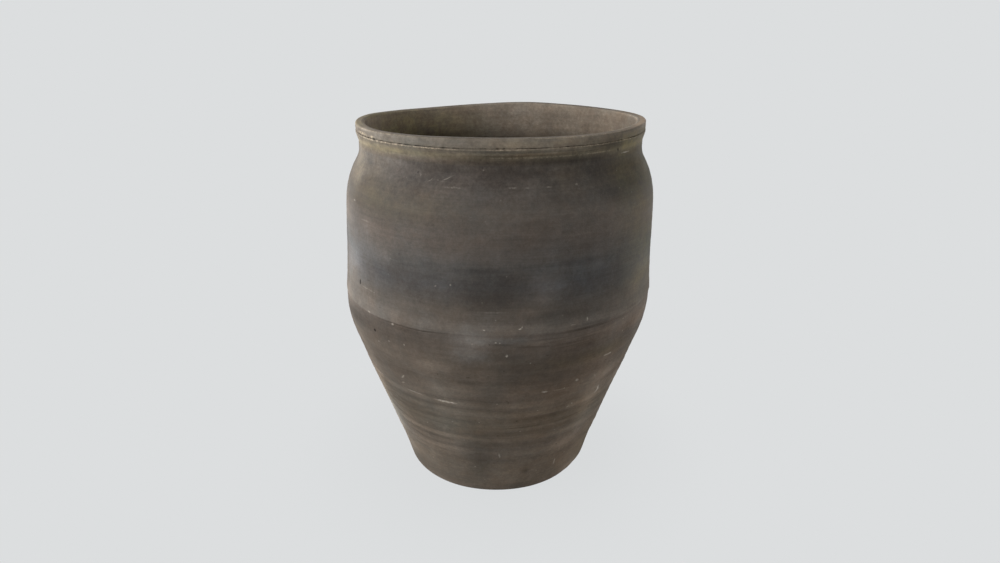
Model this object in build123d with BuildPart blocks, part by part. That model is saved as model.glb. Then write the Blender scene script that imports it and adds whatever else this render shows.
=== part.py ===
from build123d import *
import os
from math import cos, radians, tan

# A pithos, a large storage jar of coarse grey-brown clay.
# It is built upwards in courses, each luted on the bevelled top edge of the one below it.
# Millimetres, +Z up, with the origin at the middle of the underside.
# Profiles are drawn as (radius, height) on the XZ plane and turned about Z.

# Outside radii, at the corners of the outline before they are rounded
base_radius = 184.0
belly_radius = 302.3
shoulder_radius = 289.6
neck_radius = 263.2

# Rounding of the outline's corners
belly_bend = 250.0
shoulder_bend = 150.0
neck_bend = 50.0

# How much of the height each piece shows outside, from the ground to the lip
disc_edge = 7.0
heel_rise = 170.0
lower_rise = 61.0
flare_rise = 150.0
belly_rise = 112.0
shoulder_rise = 125.0
collar_rise = 59.0
rim_rise = 16.0

# Heights of the outline's corners, from the joint that each is near
belly_corner_below_joint = 41.0
shoulder_corner_below_joint = 27.0
neck_corner_above_joint = 18.5

# Thickness of the clay
wall = 13.0
floor_thickness = 20.0
rim_thickness = 17.0

# How far the rim band stands out from the neck
rim_proud = 4.6

# Slant of the joints, in degrees up from square across the wall
scarf_slant = 35.0
rim_seat_slant = 12.0

# Overhanging edge of the upper half at the belly joint
belly_overhang = 2.0
belly_overhang_rise = 26.0

# Raised strip of the collar, just under the rim band
strip_height = 17.0
strip_proud = 4.2
strip_bevel = 13.0

# Clay pressed into the joints inside the jar
floor_coil_leg = 26.0
floor_coil_hollow = 4.0
lute_half_height = 22.0
lute_thickness = 5.0

# Worn edges
base_edge_radius = 3.0
rim_edge_radius = 4.0
crevice_chamfer = 1.2

# Heights outside: the joints, the foot of the raised strip and the lip
disc_joint = disc_edge
heel_joint = disc_joint + heel_rise
lower_joint = heel_joint + lower_rise
belly_joint = lower_joint + flare_rise
shoulder_joint = belly_joint + belly_rise
collar_joint = shoulder_joint + shoulder_rise
rim_joint = collar_joint + collar_rise
strip_bottom = rim_joint - strip_height
lip = rim_joint + rim_rise

rim_radius = neck_radius + rim_proud

# Most of a straight run that the two bends at its ends may take up
bend_share = 0.96

outline_corners = [
    Vector(base_radius, 0),
    Vector(belly_radius, belly_joint - belly_corner_below_joint),
    Vector(shoulder_radius, collar_joint - shoulder_corner_below_joint),
    Vector(neck_radius, collar_joint + neck_corner_above_joint),
    Vector(neck_radius, lip),
]


def fitting_bends(corners, wanted):
    """Radii of the bends, eased only where two of them would meet on a short run."""
    runs = [end - start for start, end in zip(corners, corners[1:])]
    half_turns = [tan(radians(a.get_angle(b)) / 2) for a, b in zip(runs, runs[1:])]
    setbacks = [0, *(radius * turn for radius, turn in zip(wanted, half_turns)), 0]
    room = [bend_share * run.length / (a + b) for run, a, b in zip(runs, setbacks, setbacks[1:])]
    return [radius * min(1, below, above) for radius, below, above in zip(wanted, room, room[1:])]


with BuildLine() as outside:
    bends = fitting_bends(outline_corners, [belly_bend, shoulder_bend, neck_bend])
    FilletPolyline(*outline_corners, radius=bends)
outer = outside.wires()[0]
inner = outer.offset_2d(wall, side=Side.LEFT, closed=False)

with BuildSketch() as wall_section:
    with BuildLine():
        add(outer)
        offset(amount=wall, side=Side.LEFT)
    make_face()


def at_height(line, height):
    """Point of a wall line at a height."""
    level = Axis((0, height, 0), (1, 0, 0))
    return [point for edge in line.edges() for point in edge.find_intersection_points(level)][0]


class Joint:
    """Straight joint through the wall: its outer point, its way inwards and its inner point."""

    def __init__(self, height, slant):
        self.start = at_height(outer, height)
        up = outer.tangent_at(self.start)
        self.inwards = up.rotate(Axis.Z, 90 - slant)
        self.end = self.start + self.inwards * (wall / cos(radians(slant)))

    def past(self, distance):
        """Point on the joint's line, a distance beyond the start (negative) or from it inwards."""
        return self.start + self.inwards * distance


disc_seat = Joint(disc_joint, scarf_slant)
heel_seat = Joint(heel_joint, scarf_slant)
lower_seat = Joint(lower_joint, scarf_slant)
belly_seat = Joint(belly_joint, scarf_slant)
shoulder_seat = Joint(shoulder_joint, scarf_slant)
collar_seat = Joint(collar_joint, scarf_slant)
rim_seat = Joint(rim_joint, rim_seat_slant)


def between(low, high):
    """Corners of the band between two joints, wide enough to clear the wall on both sides."""
    spare = 2 * wall
    through = wall + spare
    return [low.past(-spare), high.past(-spare), high.past(through), low.past(through)]


def finish(piece, name):
    """Name a finished piece and write it."""
    piece.part.label = name
    export_step(piece.part, f"parts/{name}.step")


os.makedirs("parts", exist_ok=True)

# Base disc: the floor of the jar, with the bevelled edge that the heel stands on
with BuildPart() as base_disc:
    with BuildSketch(Plane.XZ) as disc_section:
        bevel_run = (floor_thickness - disc_joint) / disc_seat.inwards.Y
        with BuildLine():
            Polyline(
                (0, 0),
                outer @ 0,
                disc_seat.start,
                disc_seat.past(bevel_run),
                (0, floor_thickness),
                close=True,
            )
        make_face()
        fillet(disc_section.vertices().group_by(Axis.Y)[0].sort_by(Axis.X)[-1], base_edge_radius)
    revolve(axis=Axis.Z)
finish(base_disc, "base_disc")

# Plain courses of the wall, from the heel up to the shoulder
plain_courses = {
    "heel_course": (disc_seat, heel_seat),
    "lower_course": (heel_seat, lower_seat),
    "flare_course": (lower_seat, belly_seat),
    "shoulder_course": (shoulder_seat, collar_seat),
}
for course_name, (low_seat, high_seat) in plain_courses.items():
    with BuildPart() as course:
        with BuildSketch(Plane.XZ):
            add(wall_section.sketch)
            with BuildLine():
                Polyline(*between(low_seat, high_seat), close=True)
            make_face(mode=Mode.INTERSECT)
        revolve(axis=Axis.Z)
    finish(course, course_name)

# Belly course: the foot of the upper half, whose edge overhangs the lower half
with BuildPart() as belly_course:
    with BuildSketch(Plane.XZ):
        add(wall_section.sketch)
        with BuildLine():
            Polyline(*between(belly_seat, shoulder_seat), close=True)
        make_face(mode=Mode.INTERSECT)
        with BuildLine():
            Polyline(
                belly_seat.end,
                belly_seat.past(-belly_overhang),
                at_height(outer, belly_joint + belly_overhang_rise),
                close=True,
            )
        make_face()
    revolve(axis=Axis.Z)
finish(belly_course, "belly_course")

# Neck collar: the drawn-in neck, with a raised strip under the rim band
with BuildPart() as neck_collar:
    with BuildSketch(Plane.XZ) as collar_section:
        add(wall_section.sketch)
        with BuildLine():
            Polyline(
                (neck_radius - wall / 2, strip_bottom),
                (neck_radius, strip_bottom),
                (neck_radius + strip_proud, strip_bottom + strip_bevel),
                (neck_radius + strip_proud, rim_joint),
                (neck_radius - wall / 2, rim_joint),
                close=True,
            )
        make_face()
        with BuildLine():
            Polyline(*between(collar_seat, rim_seat), close=True)
        make_face(mode=Mode.INTERSECT)
        chamfer(collar_section.vertices().sort_by(Axis.Y)[-2], crevice_chamfer)
    revolve(axis=Axis.Z)
finish(neck_collar, "neck_collar")

# Rim band: the thick coil of the mouth, flat on top
with BuildPart() as rim_band:
    with BuildSketch(Plane.XZ) as rim_section:
        with BuildLine():
            FilletPolyline(
                (rim_radius, strip_bottom),
                (rim_radius, lip),
                (rim_radius - rim_thickness, lip),
                rim_seat.end,
                (rim_seat.end.X, strip_bottom),
                radius=[0, rim_edge_radius, rim_edge_radius, 0, 0],
                close=True,
            )
        make_face()
        with BuildLine():
            Polyline(*between(collar_seat, rim_seat), close=True)
        make_face(mode=Mode.SUBTRACT)
        chamfer(rim_section.vertices().sort_by(Axis.Y)[0], crevice_chamfer)
    revolve(axis=Axis.Z)
finish(rim_band, "rim_band")

# Floor coil: clay pressed into the corner between the floor and the wall
with BuildPart() as floor_coil:
    with BuildSketch(Plane.XZ):
        foot = Vector(disc_seat.end.X - floor_coil_leg, floor_thickness)
        top = at_height(inner, floor_thickness + floor_coil_leg)
        with BuildLine():
            SagittaArc(top, foot, floor_coil_hollow)
            Polyline(foot, disc_seat.start, top)
        make_face()
        add(wall_section.sketch, mode=Mode.SUBTRACT)
        add(disc_section.sketch_local, mode=Mode.SUBTRACT)
    revolve(axis=Axis.Z)
finish(floor_coil, "floor_coil")

# Belly lute: the strip of clay smeared over the belly joint inside the jar
with BuildPart() as belly_lute:
    with BuildSketch(Plane.XZ):
        low_edge = at_height(inner, belly_seat.end.Y - lute_half_height)
        high_edge = at_height(inner, belly_seat.end.Y + lute_half_height)
        with BuildLine():
            SagittaArc(low_edge, high_edge, lute_thickness)
            Polyline(high_edge, (belly_seat.start + belly_seat.end) / 2, low_edge)
        make_face()
        add(wall_section.sketch, mode=Mode.SUBTRACT)
    revolve(axis=Axis.Z)
finish(belly_lute, "belly_lute")
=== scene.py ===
import math
from functools import partial

import bpy
import numpy as np
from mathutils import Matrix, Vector


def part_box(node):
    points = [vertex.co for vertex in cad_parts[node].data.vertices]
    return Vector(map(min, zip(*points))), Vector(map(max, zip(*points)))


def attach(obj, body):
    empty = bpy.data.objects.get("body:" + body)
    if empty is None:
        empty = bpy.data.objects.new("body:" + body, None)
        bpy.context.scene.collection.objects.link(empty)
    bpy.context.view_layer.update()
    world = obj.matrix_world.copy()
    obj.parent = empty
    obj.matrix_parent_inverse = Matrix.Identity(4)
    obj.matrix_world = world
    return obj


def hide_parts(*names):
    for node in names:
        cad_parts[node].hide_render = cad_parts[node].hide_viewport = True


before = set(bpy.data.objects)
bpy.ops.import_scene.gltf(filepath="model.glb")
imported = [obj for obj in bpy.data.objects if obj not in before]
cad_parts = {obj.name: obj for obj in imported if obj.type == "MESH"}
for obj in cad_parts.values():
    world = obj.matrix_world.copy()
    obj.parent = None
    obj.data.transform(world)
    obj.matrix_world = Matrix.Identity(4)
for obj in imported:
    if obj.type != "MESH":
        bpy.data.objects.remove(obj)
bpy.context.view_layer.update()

# Lengths are in millimetres in the shapes below and become metres when a mesh is made
MM = 0.001

# Places round the jar are angles in degrees from +X, so 180 is the left side and 270 the front
STEPS_ROUND = 840
DEGREES = np.arange(STEPS_ROUND) * 360.0 / STEPS_ROUND
RADIANS = np.radians(DEGREES)

# Heights of the lip, the floor and the joints outside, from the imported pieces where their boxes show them
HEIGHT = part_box("rim_band")[1].z / MM
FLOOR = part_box("base_disc")[1].z / MM
DISC_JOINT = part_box("heel_course")[0].z / MM
HEEL_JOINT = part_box("lower_course")[0].z / MM
LOWER_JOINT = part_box("flare_course")[0].z / MM
BELLY_JOINT = 388.0
SHOULDER_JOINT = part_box("shoulder_course")[0].z / MM
COLLAR_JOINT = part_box("neck_collar")[0].z / MM
RIM_JOINT = 684.0

# Outline of the outside: radius and height of its corners, and the radius of each bend between them
OUTLINE = [(184.0, 0.0), (302.3, 347.0), (289.6, 598.0), (263.2, 643.5), (263.2, HEIGHT)]
OUTLINE_BENDS = [250.0, 150.0, 50.0]
BASE_RADIUS = OUTLINE[0][0]
NECK_RADIUS = OUTLINE[-1][0]
WALL = 13.0

# Slant of the joints, and how far they climb through the wall
SCARF = math.tan(math.radians(35.0))
RIM_SEAT = math.tan(math.radians(12.0))
LAP = WALL * SCARF
RIM_LAP = WALL * RIM_SEAT

# Spacing of the mesh rows: outside, inside, and the finer rows of the foot, the strip and the rim
OUTER_ROW = 2.2
INNER_ROW = 9.0
FOOT_ROW = 2.0
STRIP_ROW = 0.8
RIM_ROW = 1.2


def around(*stops):
    """Values round the jar, on straight lines between (degrees, value) stops."""
    return np.interp(DEGREES, *zip(*stops), period=360)


def ring_noise(knots, seed):
    """Uneven values from -1 to 1 round the jar, with a number of turning points."""
    values = np.random.default_rng(seed).uniform(-1, 1, knots)
    return np.interp(DEGREES, np.arange(knots) * 360.0 / knots, values, period=360)


def eased(share):
    """Share from 0 to 1 with a soft start and end."""
    return share * share * (3 - 2 * share)


def bent_line(corners, bends, arc_points=40):
    """Points of a line of straight runs whose corners are rounded."""
    corners = np.array(corners, float)
    points = [corners[0]]
    for before, corner, after, radius in zip(corners, corners[1:], corners[2:], bends):
        back = (before - corner) / np.linalg.norm(before - corner)
        ahead = (after - corner) / np.linalg.norm(after - corner)
        half = math.acos(np.clip(back @ ahead, -1, 1)) / 2
        middle = (back + ahead) / np.linalg.norm(back + ahead)
        centre = corner + middle * radius / math.sin(half)
        start = corner + back * radius / math.tan(half) - centre
        end = corner + ahead * radius / math.tan(half) - centre
        turn = np.arctan2(start[0] * end[1] - start[1] * end[0], start @ end)
        for share in np.linspace(0, 1, arc_points):
            c, s = math.cos(turn * share), math.sin(turn * share)
            points.append(centre + (c * start[0] - s * start[1], s * start[0] + c * start[1]))
    points.append(corners[-1])
    return np.array(points)


class Wall:
    """The jar's wall as a line outside and its offset inside, both followed by length along the line."""

    def __init__(self, points):
        self.points = points
        runs = np.diff(points, axis=0)
        self.along = np.append(0, np.cumsum(np.linalg.norm(runs, axis=1)))
        heading = np.gradient(points, self.along, axis=0)
        heading /= np.linalg.norm(heading, axis=1)[:, None]
        self.inner = points + WALL * np.stack([-heading[:, 1], heading[:, 0]], 1)

    def length_at(self, height):
        return np.interp(height, self.points[:, 1], self.along)

    def point_on(self, line, length):
        return np.stack([np.interp(length, self.along, values) for values in line.T], -1)

    def outside(self, length):
        return self.point_on(self.points, length)

    def inside(self, length):
        return self.point_on(self.inner, length)


# The potter's hand: how much the wall swells beyond that line at some heights
SWELL = [
    (0, 1.2), (30, -0.2), (62, -0.9), (95, -0.3), (128, -0.9), (156, -1.0), (186, -0.7), (215, -0.15),
    (244, 0.45), (273, 0.0), (300, 0.25), (329, 0.9), (355, 0.85), (380, -0.2), (405, -0.4), (430, -0.55),
    (455, -0.76), (478, -0.45), (501, 0.25), (525, 0.4), (548, 0.65), (571, 0.22), (593, -0.15),
    (614, -0.15), (636, -0.3), (657, 0.3), (680, 0.5), (700, 0.3),
]
# Steps up the outline at which it is taken, and how many of them its easing spans
SWELL_STEPS = 351
SWELL_EASE = 17


def swollen(points):
    """Outline with the hand's swelling eased in along it."""
    heights = np.linspace(0, HEIGHT, SWELL_STEPS)
    swell = np.interp(heights, *zip(*SWELL))
    window = np.hanning(SWELL_EASE)
    soft = np.convolve(np.pad(swell, SWELL_EASE // 2, mode="edge"), window / window.sum(), mode="valid")
    return np.stack([np.interp(heights, points[:, 1], points[:, 0]) + soft, heights], 1)


wall = Wall(swollen(bent_line(OUTLINE, OUTLINE_BENDS)))


def spaced(low, high, spacing):
    """Even steps from low to high, about a spacing apart."""
    return np.linspace(low, high, max(2, round(abs(high - low) / spacing) + 1))


def subdivided(points, spacing):
    """Line with further points on its longer runs."""
    rows = [points[0]]
    for start, end in zip(points, points[1:]):
        steps = max(1, math.ceil(np.linalg.norm(end - start) / spacing))
        rows += [start + (end - start) * k / steps for k in range(1, steps + 1)]
    return np.array(rows)


def round_rows(rows):
    """Rows of a section, each one (radius, height) pair for every angle."""
    return np.repeat(np.asarray(rows, float)[:, None, :], STEPS_ROUND, axis=1)


# Tones of the outside: (height, colour). Those of the neck take over a little above their start.
# Towards the foot and on the strip from 665 to 678 they are lighter, as painted light where these faces turn down.
NECK_LATER = 2.0
OUTER_TONES_AND_PAINTED_LIGHT = [
    (0, "655c52"), (60, "5f564c"), (120, "5d544b"), (180, "595147"), (245, "5a5148"), (330, "534b43"),
    (386.4, "564e47"), (387.2, "5e5750"), (398, "605952"), (430, "514b45"), (466, "474340"), (498, "4b4845"),
    (545, "544d47"), (590, "56504a"), (640, "47423e"), (668, "46413c"),
]
NECK_TONES_AND_PAINTED_LIGHT = [
    (655, "48433d"), (661, "4b443d"), (665, "524b41"), (669, "60584b"), (673, "635b4e"), (678, "60584d"),
    (690, "685f55"), (700, "6c645a"),
]

# Lighter and darker clouds: (degrees from the front, height, half width in degrees, half height, power of e).
# Besides the clay's own tone, many are painted light and shade, most of all those 60 degrees and more from the
# front.
OUTER_CLOUDS_AND_PAINTED_LIGHT = [
    # Rim band: painted light on the left of the lip's top, a painted highlight along its outer top edge at the
    # right, and painted shade over the glint along the front of its top
    (14, 692, 26, 20, 0.36), (-38, 692, 22, 10, -0.14), (-60, 698, 10, 4, 0.4), (48, 690, 26, 24, -0.42),
    (70, 684, 14, 20, -0.35), (-64, 692, 20, 20, -0.25), (60, 698, 18, 4, -0.2), (75, 700.5, 26, 4, 0.35),
    (92, 701, 34, 4, 0.5), (-78, 700, 40, 7, 0.5), (0, 700.5, 70, 3, -0.25), (15, 698.5, 10, 3, -0.2),
    (50, 698.5, 9, 3, -0.26), (66, 701.5, 22, 3.4, 0.3), (58, 700.6, 28, 1.6, 0.4), (38, 699.6, 38, 1.0, 0.35),
    (70, 690, 12, 9, -0.24), (41, 687, 8, 5, -0.2),
    # Strip and neck
    (44, 676, 18, 6, -0.25), (-34, 670, 22, 9, 0.2), (-3, 678, 20, 3.2, -0.36), (41, 679.6, 14, 2.2, -0.5),
    (-1, 671, 14, 5, -0.34), (21, 677, 12, 5, 0.3), (8, 672, 26, 1.8, -0.3), (17, 677, 20, 1.6, -0.35),
    (28, 674, 12, 1.5, -0.25), (-30, 664, 18, 7, 0.26), (20, 661, 28, 9, -0.3), (-50, 654, 36, 36, 0.55),
    (-3, 664, 22, 14, -0.2), (2, 645, 13, 34, -0.34), (40, 640, 16, 40, -0.2), (-22, 650, 12, 14, -0.22),
    (-70, 640, 16, 60, 0.4), (20, 648, 8, 12, 0.2), (14, 656, 18, 11, 0.22), (42, 673, 9, 8, -0.26),
    (-40, 668, 9, 18, -0.2), (-61, 671, 9, 9, 0.18), (1, 680, 9, 3, -0.22), (15, 676, 10, 2.6, 0.18),
    (-10, 666, 8, 6, -0.18), (64, 655, 18, 26, -0.16), (-88, 640, 34, 70, 0.12),
    # Shoulder
    (-58, 578, 30, 60, -0.22), (52, 612, 30, 34, -0.1), (-52, 630, 22, 16, 0.2), (-62, 610, 9, 30, 0.4),
    (-70, 560, 16, 70, 0.3), (-62, 588, 22, 36, -0.2), (-48, 575, 16, 34, -0.14), (42, 600, 12, 24, -0.34),
    (62, 596, 18, 34, -0.08), (50, 614, 8, 14, -0.24), (72, 590, 14, 52, -0.34), (60, 628, 16, 46, -0.2),
    (-72, 634, 15, 38, 0.18), (-58, 624, 14, 10, 0.14), (-33, 572, 13, 20, -0.15), (-44, 556, 16, 14, -0.14),
    (52, 601, 32, 34, -0.2), (78, 600, 14, 40, -0.2),
    # Upper wall
    (-62, 470, 17, 66, 0.5), (-2, 470, 16, 44, -0.24), (13, 462, 12, 52, 0.22), (56, 462, 16, 70, 0.34),
    (24, 414, 22, 24, -0.22), (-7, 496, 13, 7, -0.25), (26, 503, 24, 7, -0.14), (-66, 450, 14, 70, 0.22),
    (12, 445, 12, 14, 0.2), (-44, 500, 12, 18, 0.24), (17, 468, 9, 44, 0.26), (-4, 446, 10, 30, -0.2),
    (66, 460, 14, 40, 0.22), (-72, 540, 14, 34, 0.15), (-5, 430, 10, 12, -0.14), (10, 428, 8, 18, 0.18),
    (-86, 462, 34, 90, 0.24),
    # Belly joint
    (-36, 379, 32, 7, -0.2), (30, 377, 24, 5, -0.12), (48, 400, 26, 20, -0.18), (-64, 400, 18, 26, -0.12),
    (-46, 366, 42, 34, -0.42), (-9, 368, 11, 48, 0.3), (50, 374, 30, 28, 0.22), (12, 372, 14, 14, 0.2),
    (-68, 385, 16, 40, 0.3), (70, 400, 14, 24, -0.3), (-6, 376, 14, 14, 0.26), (28, 374, 24, 14, 0.2),
    (-62, 360, 20, 26, -0.4), (-10, 356, 10, 16, 0.16), (-3, 392, 14, 8, -0.1), (-3, 383, 16, 6, 0.16),
    (8.5, 366, 5, 4, -0.3), (13, 364, 5, 3.6, -0.26), (24, 364, 8, 3.2, -0.28), (31, 368, 7, 3, -0.28),
    (18, 370, 6, 3, -0.2), (62, 356, 14, 22, 0.3), (20, 401, 7, 8, -0.16), (10, 400, 7, 8, 0.13),
    (-45, 396, 14, 10, -0.15), (30, 354, 6, 8, -0.18), (27, 391, 12, 3.4, -0.16), (40, 379, 9, 3, -0.16),
    (52, 393, 9, 4, -0.16), (37, 390, 13, 4, -0.22), (5, 379, 8, 6, 0.12),
    # Lower wall
    (18, 318, 30, 44, -0.16), (-18, 285, 18, 70, 0.16), (-48, 250, 18, 130, -0.22), (-64, 270, 14, 120, 0.22),
    (43, 265, 13, 80, 0.28), (-5, 245, 12, 30, -0.15), (-17, 200, 16, 60, 0.1), (43, 190, 12, 80, 0.2),
    (-34, 190, 16, 70, -0.1), (4, 289, 22, 7, -0.12), (-66, 200, 14, 130, 0.2), (-22, 320, 12, 22, 0.3),
    (34, 316, 14, 22, 0.16), (-68, 290, 14, 60, -0.36), (-10, 290, 8, 10, -0.28), (-20, 266, 10, 20, 0.2),
    (32, 252, 14, 24, 0.2), (50, 266, 12, 20, 0.2), (-20, 215, 12, 40, 0.2), (40, 215, 14, 40, 0.16),
    (62, 225, 10, 24, 0.3), (-60, 314, 9, 12, 0.16), (0, 335, 8, 10, 0.14), (-20, 288, 8, 12, 0.13),
    (60, 205, 9, 60, 0.17),
    # Heel and foot, partly painted light: lighter up the left edge, which faces down, and at the right foot in the
    # floor's shadow, and painted shade over a highlight just above that
    (-8, 105, 13, 85, -0.36), (28, 105, 20, 20, 0.1), (50, 40, 20, 60, 0.2), (15.5, 51, 3.6, 11, -0.4),
    (-62, 40, 14, 60, 0.2), (-66, 125, 16, 85, 0.42), (-22, 140, 12, 50, 0.16), (42, 130, 16, 60, 0.3),
    (32, 100, 12, 30, 0.16), (0, 55, 14, 40, 0.14), (-58, 20, 30, 40, -0.36), (52, 10, 18, 18, 0.4),
    (72, 60, 12, 40, -0.38), (-5, 120, 11, 20, 0.14), (-40, 118, 9, 18, -0.16), (-10, 52, 9, 30, -0.16),
    (50, 105, 7, 26, -0.15), (-35, 22, 14, 26, -0.17), (10, 10, 10, 16, -0.24), (-80, 125, 36, 160, 0.3),
    # Back; the last two are painted shade over the left rear, which the strongest lamp lights most
    (110, 560, 60, 80, -0.15), (170, 300, 50, 120, 0.12), (120, 240, 30, 100, -0.15), (-110, 520, 40, 60, 0.12),
    (180, 468, 50, 50, -0.25), (150, 362, 30, 34, -0.3), (-146, 372, 30, 26, -0.3), (135, 620, 30, 40, -0.2),
    (-130, 600, 30, 50, 0.15), (160, 160, 30, 80, -0.2), (-160, 120, 30, 60, 0.12), (-172, 655, 44, 22, -0.25),
    (-120, 260, 20, 90, -0.2), (112, 420, 16, 50, 0.2), (-168, 365, 12, 44, 0.25), (-100, 420, 16, 40, -0.2),
    (-128, 380, 62, 420, -0.24), (-128, 692, 60, 16, -0.2),
]

# Level bands, lighter and darker: most are painted light and shade of the finger ridges, which the low lamps leave
# flat, and some are tone by height: (height, half height, lift left, in the middle and right)
RIDGE_SHADE_AND_TONE_BANDS = [
    (322, 8, 0.08, 0, 0), (312, 4, 0, 0.08, 0.1), (289, 6, -0.07, -0.08, -0.07), (261, 5, 0, 0.1, 0.04),
    (251, 5, -0.11, 0, -0.03), (238.5, 4, 0.18, 0.1, 0), (232, 4, 0, 0.14, 0.08), (225, 4, -0.05, -0.07, 0),
    (212, 5, 0, 0.08, 0.12), (201, 5, -0.1, -0.09, -0.14), (195, 4, -0.05, -0.07, -0.07), (187, 3, 0.05, 0.07, 0),
    (173.5, 4, 0.14, 0.14, 0.12), (161, 6, -0.1, -0.12, -0.04), (145, 4, 0.06, 0.03, 0.08),
    (133, 6, -0.08, 0, -0.05), (106, 8, 0, 0.05, 0), (83, 7, 0, 0, -0.07), (515, 11, 0.05, 0.05, 0.05),
    (445, 10, -0.07, -0.07, -0.07), (415, 9, -0.07, -0.07, -0.07), (208, 7, 0.135, 0.135, 0.135),
    (146, 7, 0.11, 0.11, 0.11), (130, 8, -0.05, -0.05, -0.05), (108, 9, 0.1, 0.1, 0.1),
    (88, 9, -0.065, -0.065, -0.065), (30, 14, -0.04, -0.04, -0.04),
]

# Blue-grey smoke of the firing, and olive deposit: (degrees, height, half width, half height, strength)
OUTER_SMOKE = [
    (-62, 478, 26, 80, 0.7), (-44, 462, 28, 44, 0.9), (-26, 466, 20, 38, 0.5), (-10, 474, 14, 34, 0.1),
    (12, 466, 14, 40, 0.2), (30, 466, 24, 56, 0.9), (46, 462, 16, 44, 0.4), (24, 502, 28, 14, 0.2),
    (-9, 368, 10, 50, 0.9), (-8, 350, 9, 26, 0.6), (4, 378, 9, 9, 0.5), (-5, 610, 18, 24, 0.3),
    (-20, 642, 34, 26, 0.15), (-6, 92, 14, 70, 0.45), (85, 470, 40, 50, 0.8), (140, 455, 50, 60, 0.9),
    (-160, 480, 60, 50, 0.8), (160, 640, 60, 30, 0.4),
]
OUTER_OLIVE = [
    (-36, 671, 24, 7, 0.32), (-54, 668, 20, 14, 0.3), (58, 520, 26, 190, 0.35), (64, 640, 36, 60, 0.8),
    (16, 691, 34, 12, 0.25), (-62, 630, 30, 70, 0.36), (120, 660, 60, 14, 0.4), (58, 480, 26, 120, 0.25),
    (60, 620, 26, 90, 0.5), (52, 680, 34, 24, 0.45), (62, 690, 24, 9, 0.35), (30, 640, 30, 50, 0.25),
    (-40, 590, 40, 40, 0.3), (-88, 700, 34, 6, 0.75), (73, 480, 22, 130, 0.48), (76, 610, 18, 70, 0.6),
    (72, 290, 20, 70, 0.45), (66, 70, 20, 90, 0.4), (35, 325, 30, 24, 0.35),
]

# Browner clay above 0 and greyer clay below 0, and pale lines along the crack and the strip, with a painted
# highlight along the lip's outer top edge: as above
OUTER_RUST = [
    (28, 300, 34, 90, 0.26), (24, 190, 34, 110, 0.32), (56, 645, 26, 34, 0.4), (92, 701, 40, 6, 0.3),
    (66, 701, 20, 4, 0.25), (34, 60, 40, 80, 0.3), (-62, 130, 22, 80, -0.4), (-22, 190, 16, 120, -0.2),
    (-40, 230, 24, 50, -0.15), (0, 378, 20, 16, -0.35), (-56, 600, 22, 50, 0.2), (-4, 678, 20, 5, -0.2),
    (12, 673, 20, 5, 0.3), (-30, 690, 34, 16, -0.3), (56, 360, 16, 24, 0.3), (0, 645, 40, 30, 0.15),
    (30, 362, 30, 22, 0.12), (-8, 350, 9, 26, -0.2),
]
OUTER_CREAM_AND_HIGHLIGHT = [
    (-52, 681.8, 30, 2.0, 0.45), (-26, 681.6, 18, 1.6, 0.36), (2, 681.8, 14, 1.5, 0.18), (30, 682.4, 26, 1.6, 0.28),
    (52, 683, 9, 2.2, 0.25), (12, 669, 30, 1.4, 0.12), (36, 669.6, 12, 1.4, 0.12), (-62, 688, 8, 5, 0.5),
    (-53, 687, 2, 4, 0.7), (-45, 699, 24, 1.2, 0.24), (30, 699.2, 40, 1.0, 0.2),
]

# Pale grit, scuffs and scratches: (degrees, height, half length, half thickness, tilt, strength)
PALE_MARKS = [
    (6.6, 398.8, 3.8, 1.7, 10, 0.95), (7.3, 401.2, 2, 3.2, 0, 1.1), (29.6, 401, 2.2, 4.4, 0, 0.95),
    (-4.6, 397.5, 2.6, 1.7, 0, 0.6), (24.3, 395.5, 6, 1.6, 0, 0.35), (-48.8, 388.5, 6, 2, -12, 0.6),
    (-37, 382.5, 4, 3, 25, 0.7), (2.7, 351, 2.6, 3.8, 0, 0.75), (-0.9, 375.5, 2, 1.7, 0, 0.7),
    (0.4, 375, 2, 1.7, 0, 0.7), (-39.2, 347, 4, 2.4, 0, 0.7), (-32.4, 350, 2.2, 2.4, 0, 0.7),
    (42.2, 313.3, 15, 2.2, 0, 0.8), (-37.7, 271, 9, 2.6, 45, 0.7), (-39, 255, 6, 1.8, 20, 0.5),
    (-34, 240.8, 26, 2.2, -2, 0.55), (-20.5, 237.3, 28, 2.8, -1, 0.85), (-17, 237, 10, 2.4, 0, 0.6),
    (-57, 242, 24, 3, 4, 0.35), (17.4, 263.5, 8, 2.6, -8, 0.7), (30.3, 275, 6, 4, -30, 0.65),
    (39.6, 269, 6, 3, -45, 0.35), (24, 262, 22, 1.2, 0, 0.25), (45.7, 224, 4.4, 13, 0, 1.0),
    (30.2, 210.5, 7, 2, 0, 0.5), (32, 215, 3, 2.4, 0, 0.5), (33.8, 55, 3, 13, 0, 0.6), (1.2, 103, 3, 10, 12, 0.45),
    (52, 661.5, 20, 1.5, 0, 0.8), (-6, 650.5, 1.8, 1.8, 0, 0.6), (-28.6, 638, 1.8, 1.8, 0, 0.6),
    (-24.6, 631.5, 7, 1.3, 30, 0.32), (-20.6, 632, 10, 1.3, -8, 0.28), (-18.4, 636.2, 17, 1.4, 24, 0.34),
    (25.6, 625.5, 3, 3.4, -20, 0.3), (26.2, 618.5, 2, 2.2, 0, 0.32), (15.5, 624.4, 7, 1.6, 0, 0.3),
    (3.5, 625, 9, 1.8, 2, 0.3), (8.5, 624.6, 5, 1.5, 0, 0.24), (-16, 623.5, 22, 2, 2, 0.24),
    (-52, 549, 22, 2.4, 0, 0.16), (-61, 575, 7, 2.4, 0, 0.4), (-50, 427.5, 34, 2, 0, 0.2),
    (-2, 427.5, 30, 2, 0, 0.13), (-20.5, 466, 2.6, 1.8, 20, 0.35), (-15.4, 471, 2.2, 2, 0, 0.55),
]

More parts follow.
